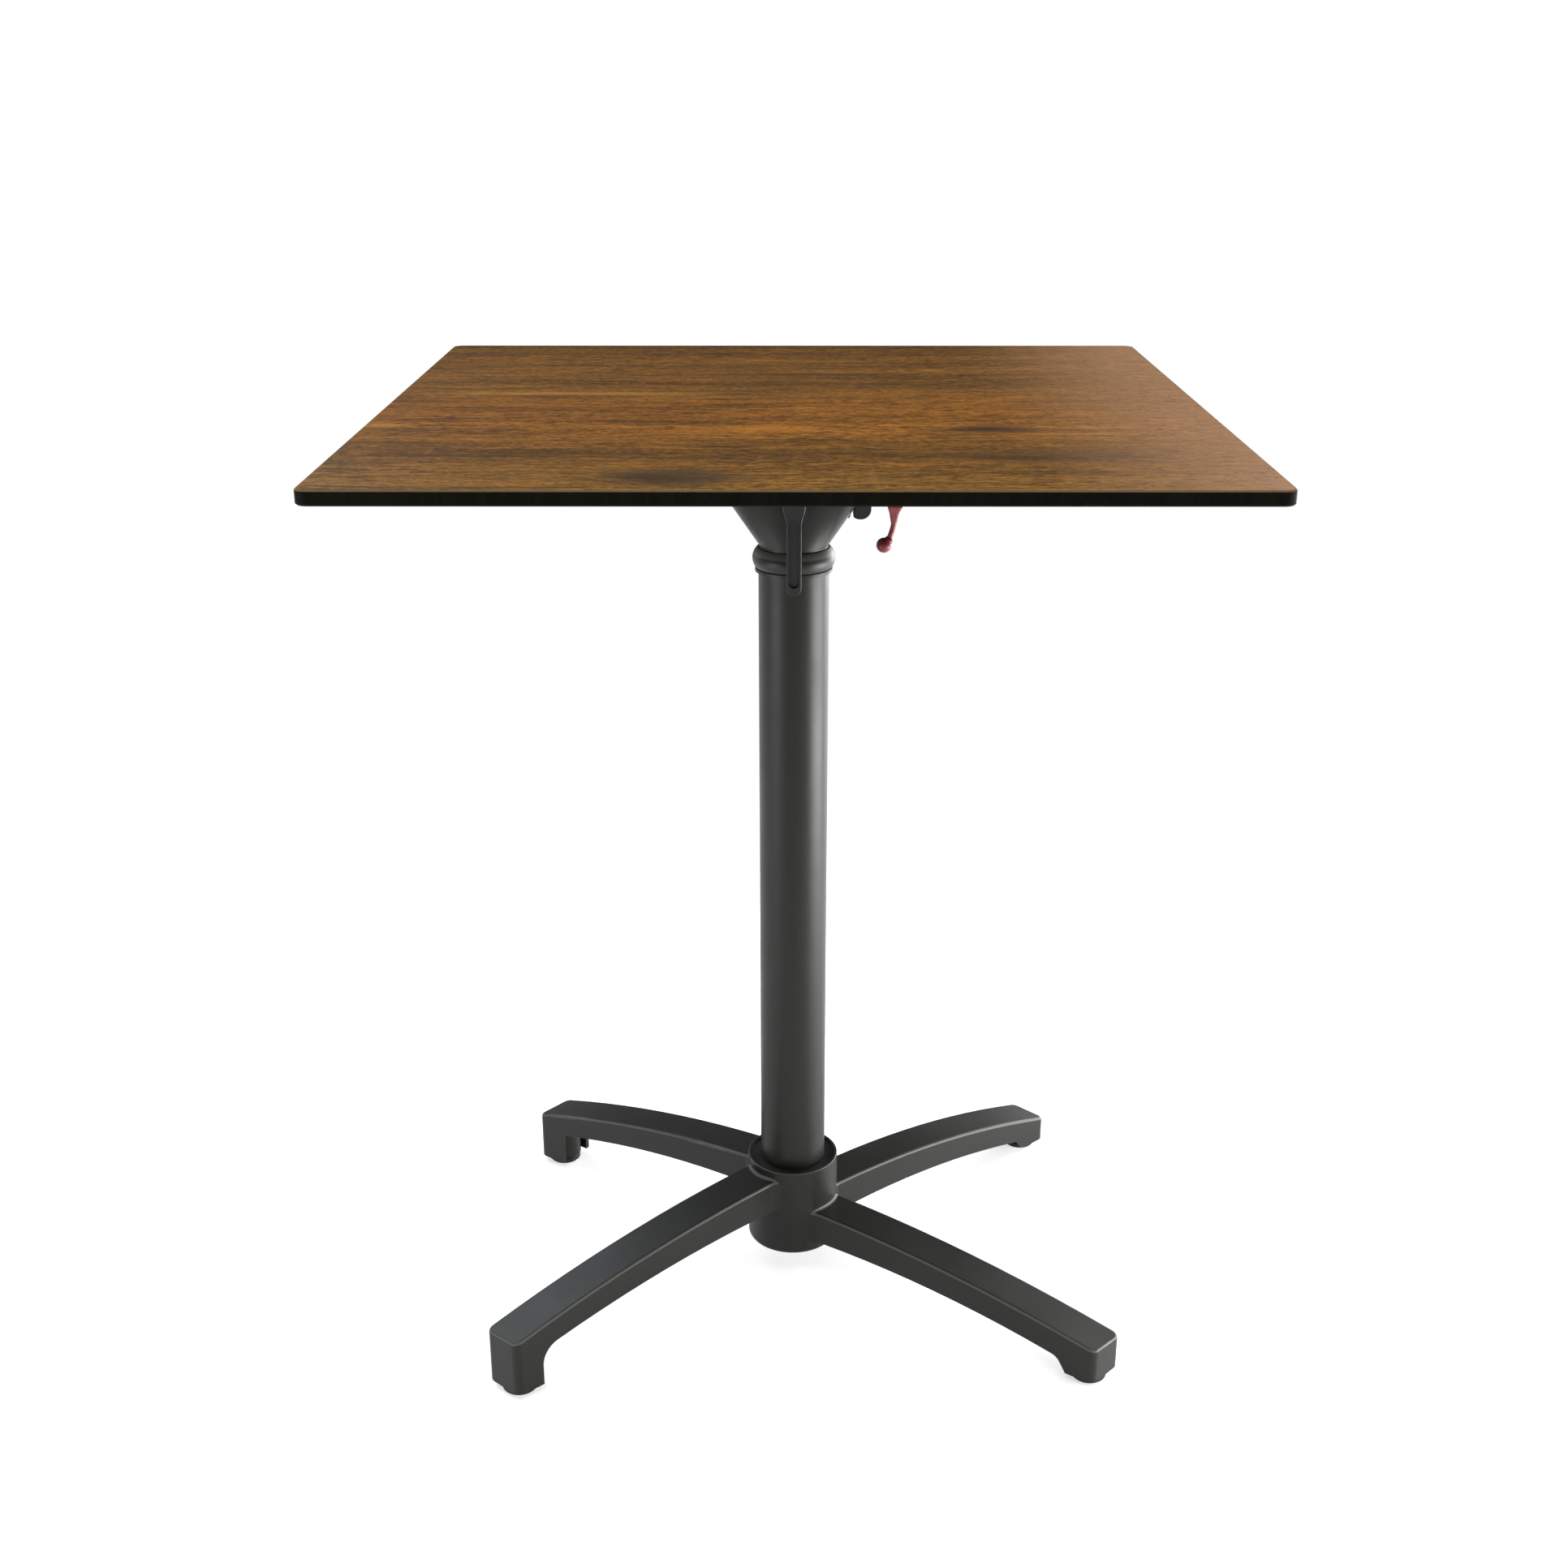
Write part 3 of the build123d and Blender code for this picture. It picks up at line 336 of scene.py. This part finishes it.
def wood(s, grain, fibre):
    """Printed wood decor, from the widest bands down to fibres and pores."""
    broad = s.noise(s.stretched(2.2, 30.0, 1.0, source=grain), 1.0, 5.0, 0.65)
    middle = s.noise(s.stretched(6.5, 150.0, 1.0, source=grain), 1.0, 6.0, 0.7)
    streak = s.noise(s.stretched(24.0, 420.0, 1.0, source=grain), 1.0, 4.0, 0.7)
    pores = s.noise(s.stretched(240.0, 1500.0, 1.0, source=grain), 1.0, 2.0, 0.6)
    mottle = s.noise(s.stretched(75.0, 210.0, 1.0), 1.0, 4.0, 0.7)
    cloud = s.noise(s.stretched(5.0, 9.0, 1.0, (3.0, 1.0, 0.0)), 1.0, 3.0, 0.55)
    speckle = s.noise(s.stretched(190.0, 330.0, 1.0), 1.0, 3.0, 0.65)
    tone = s.math("ADD", s.math("MULTIPLY", broad, 0.40), s.math("MULTIPLY", middle, 0.60))

    colour = wood_bands(s, grain, broad)
    colour = s.tint(colour, tone, 0.53, 0.38, 0.85, srgb(66, 42, 17))
    colour = s.tint(colour, tone, 0.50, 0.62, 0.55, WOOD_HONEY)
    colour = s.tint(colour, streak, 0.50, 0.34, 0.50, srgb(57, 37, 15))
    colour = s.tint(colour, streak, 0.53, 0.66, 0.28, srgb(182, 121, 46))
    mottled = s.math("MULTIPLY", s.level(mottle, 0.52, 0.38, 0.0, 0.8), s.level(cloud, 0.40, 0.58))
    colour = s.mix(mottled, colour, srgb(59, 39, 17))
    colour = s.tint(colour, cloud, 0.48, 0.30, 0.55, srgb(85, 59, 28))
    colour = s.tint(colour, speckle, 0.52, 0.38, 0.40, WOOD_DARK)
    colour = s.tint(colour, speckle, 0.52, 0.66, 0.28, WOOD_PALE)
    colour = wood_marks(s, colour, middle)
    # The decor is paler and redder towards its right end: partly its own colour, partly a painted sheen standing
    # in for light from the right.
    colour = s.tint(colour, s.split(s.place.outputs["Object"])[0], 0.13, 0.31, 0.85, srgb(172, 132, 98))
    colour = s.tint(colour, fibre, 0.48, 0.62, 0.60, srgb(66, 43, 19))
    colour = s.tint(colour, fibre, 0.47, 0.34, 0.30, srgb(180, 123, 52))
    return s.tint(colour, pores, 0.57, 0.66, 0.8, srgb(45, 30, 14))


def laminate():
    """Compact laminate: printed wood decor above, plain dark backing below, black core at the edges."""
    s = Shader("laminate")
    drift = s.noise(s.stretched(3.1, 9.0, 1.0, (0.7, 0.2, 0.0)), 1.0, 3.0, 0.5)
    ripple = s.noise(s.stretched(17.0, 30.0, 1.0), 1.0, 2.0, 0.5)
    wave = s.math("ADD", drift, s.math("MULTIPLY", ripple, 0.16))
    grain = s.pushed(wave, (0.0, 0.055, 0.0), s.stretched(1, 1, 1, (0.0, -0.032, 0.0)))
    fibre = s.noise(s.stretched(55.0, 1300.0, 1.0, source=grain), 1.0, 5.0, 0.75)

    upward = s.upward()
    core = s.mix(s.level(fibre, 0.4, 0.6), srgb(17, 15, 9), srgb(22, 20, 13))
    # Beige on the chamfers: the cut decor layer's colour plus a painted highlight along the board's edges.
    rim = s.mix(s.level(upward, 0.35, 0.5), core, srgb(112, 94, 66))
    below = s.mix(s.level(upward, -0.95, -0.86), srgb(36, 35, 32), rim)
    s.base(Base_Color=s.mix(s.level(upward, 0.86, 0.95), below, wood(s, grain, fibre)),
           Roughness=s.level(fibre, 0.3, 0.7, 0.42, 0.54),
           Normal=s.bump(fibre, 0.00005, 0.3), Specular_IOR_Level=0.06)
    return s.material


MATERIALS = {
    "powder_coat": powder_coat(),
    "laminate": laminate(),
    "black_plastic": plastic("black_plastic", srgb(24, 24, 23), srgb(33, 33, 32), 0.5),
    "lever_black": plastic("lever_black", srgb(30, 30, 28), srgb(38, 38, 36), 0.34),
    "red_lever": plastic("red_lever", srgb(127, 44, 50), srgb(141, 54, 61), 0.32),
    "seal_rubber": plastic("seal_rubber", srgb(12, 12, 12), srgb(18, 18, 18), 0.65),
    "bush_plastic": plastic("bush_plastic", srgb(30, 30, 30), srgb(40, 40, 40), 0.5),
    "zinc_steel": metal("zinc_steel", (0.42, 0.42, 0.41), 0.34),
    "spring_steel": metal("spring_steel", (0.4, 0.4, 0.4), 0.34),
    "brass": metal("brass", (0.78, 0.60, 0.30), 0.28),
}
for part in frame["record"]["subparts"]:
    mesh = frame["nodes"][part["node"]].data
    mesh.materials.clear()
    mesh.materials.append(MATERIALS[part["material_slot"]])


# ------------------------------------------------------------------ details
def threaded_stem(foot):
    """A foot's stem with a real thread, in place of the plain CAD bar."""
    node = f"glide_stem_{foot}"
    low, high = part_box(node)
    x, y = (low[0] + high[0]) / 2, (low[1] + high[1]) / 2
    radius, height = (high[0] - low[0]) / 2, high[2] - low[2]
    rows = THREAD_ROWS * round(height / THREAD_PITCH)
    points, faces = [], []
    for row in range(rows + 1):
        z = low[2] + height * row / rows
        taper = max(0.0, 1.0 - (high[2] - z) / TIP_LENGTH) * TIP_DEPTH
        for step in range(THREAD_STEPS):
            phase = (z / THREAD_PITCH - step / THREAD_STEPS) % 1.0
            groove = THREAD_DEPTH * (1.0 - abs(2.0 * phase - 1.0)) ** 0.8
            angle = 2.0 * math.pi * step / THREAD_STEPS
            reach = radius - max(groove, taper)
            points.append((x + reach * math.cos(angle), y + reach * math.sin(angle), z))
    for row in range(rows):
        here, above = row * THREAD_STEPS, (row + 1) * THREAD_STEPS
        for step in range(THREAD_STEPS):
            ahead = (step + 1) % THREAD_STEPS
            faces.append((here + step, here + ahead, above + ahead, above + step))
    faces.append(tuple(reversed(range(THREAD_STEPS))))
    faces.append(tuple(rows * THREAD_STEPS + step for step in range(THREAD_STEPS)))
    mesh = bpy.data.meshes.new(f"thread_{foot}")
    mesh.from_pydata(points, [], faces)
    mesh.materials.append(MATERIALS["zinc_steel"])
    mesh.shade_smooth()
    piece = bpy.data.objects.new(f"thread_{foot}", mesh)
    bpy.context.collection.objects.link(piece)
    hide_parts(node)
    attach(piece, f"glide_{foot}")


def soften(node, width):
    """Break the sharp edges of a CAD node so that they catch light."""
    bevel = frame["nodes"][node].modifiers.new("soften", "BEVEL")
    bevel.width = width
    bevel.segments = 2
    bevel.limit_method = "ANGLE"
    bevel.angle_limit = math.radians(50)
    bevel.harden_normals = True


for foot in ("fl", "fr", "bl", "br"):
    threaded_stem(foot)
for node, width in SOFT_EDGES:
    soften(node, width)


# ------------------------------------------------------------------ stage
def area_light(name, place, aim, size, brightness, colour):
    """Rectangular soft light; its power follows from the brightness of its face."""
    data = bpy.data.lights.new(name, "AREA")
    data.shape = "RECTANGLE"
    data.size, data.size_y = size
    data.energy = brightness * math.pi * size[0] * size[1]
    data.color = colour
    lamp = bpy.data.objects.new(name, data)
    bpy.context.collection.objects.link(lamp)
    lamp.location = place
    direction = Vector(aim) - Vector(place)
    lamp.rotation_euler = direction.to_track_quat("-Z", "Y").to_euler()


def white_to_camera(tree, shade, white):
    """Show the camera the white shader, and light and reflections the given one."""
    mix = tree.nodes.new("ShaderNodeMixShader")
    path = tree.nodes.new("ShaderNodeLightPath")
    tree.links.new(path.outputs["Is Camera Ray"], mix.inputs[0])
    tree.links.new(shade, mix.inputs[1])
    tree.links.new(white, mix.inputs[2])
    return mix.outputs[0]


def world():
    """Dim grey room that the camera sees as white."""
    room = bpy.data.worlds.new("studio")
    bpy.context.scene.world = room
    room.use_nodes = True
    tree = room.node_tree
    dim = tree.nodes["Background"]
    dim.inputs[0].default_value = (1.0, 1.0, 1.0, 1.0)
    dim.inputs[1].default_value = WORLD_LEVEL
    white = tree.nodes.new("ShaderNodeBackground")
    white.inputs[0].default_value = (1.0, 1.0, 1.0, 1.0)
    tree.links.new(white_to_camera(tree, dim.outputs[0], white.outputs[0]), tree.nodes["World Output"].inputs[0])


def floor():
    """Pale floor that fades to white away from the table."""
    bpy.ops.mesh.primitive_plane_add(size=FLOOR_SIZE)
    ground = bpy.context.object
    ground.name = "floor"
    s = Shader("floor")
    s.base(Base_Color=(FLOOR_GREY, FLOOR_GREY, FLOOR_GREY, 1.0),
           Roughness=s.noise(s.stretched(3, 3, 3), 1.0, 2.0, 0.5), Specular_IOR_Level=0.1)
    lit = s.glowing(FLOOR_BOUNCE)
    white = s.tree.nodes.new("ShaderNodeEmission")
    fade = s.tree.nodes.new("ShaderNodeMixShader")
    s.put(fade.inputs[0], s.level(s.length(s.place.outputs["Object"]), *FLOOR_FADE))
    s.put(fade.inputs[1], white_to_camera(s.tree, lit, s.glowing(FLOOR_GLOW)))
    s.put(fade.inputs[2], white_to_camera(s.tree, lit, white.outputs[0]))
    s.put(s.output.inputs["Surface"], fade.outputs[0])
    ground.data.materials.append(s.material)


def camera():
    """Camera in front of the table, looking slightly down."""
    data = bpy.data.cameras.new("camera")
    data.sensor_width = CAMERA_SENSOR
    data.lens = CAMERA_LENS
    view = bpy.data.objects.new("camera", data)
    bpy.context.collection.objects.link(view)
    view.location = (-CAMERA_DISTANCE * math.sin(CAMERA_ORBIT), -CAMERA_DISTANCE * math.cos(CAMERA_ORBIT),
                     CAMERA_HEIGHT)
    view.rotation_euler = (math.pi / 2 - CAMERA_PITCH, 0.0, CAMERA_PAN - CAMERA_ORBIT)
    bpy.context.scene.camera = view


world()
floor()
for light in LIGHTS:
    area_light(*light)
camera()
bpy.context.scene.view_settings.view_transform = "Standard"
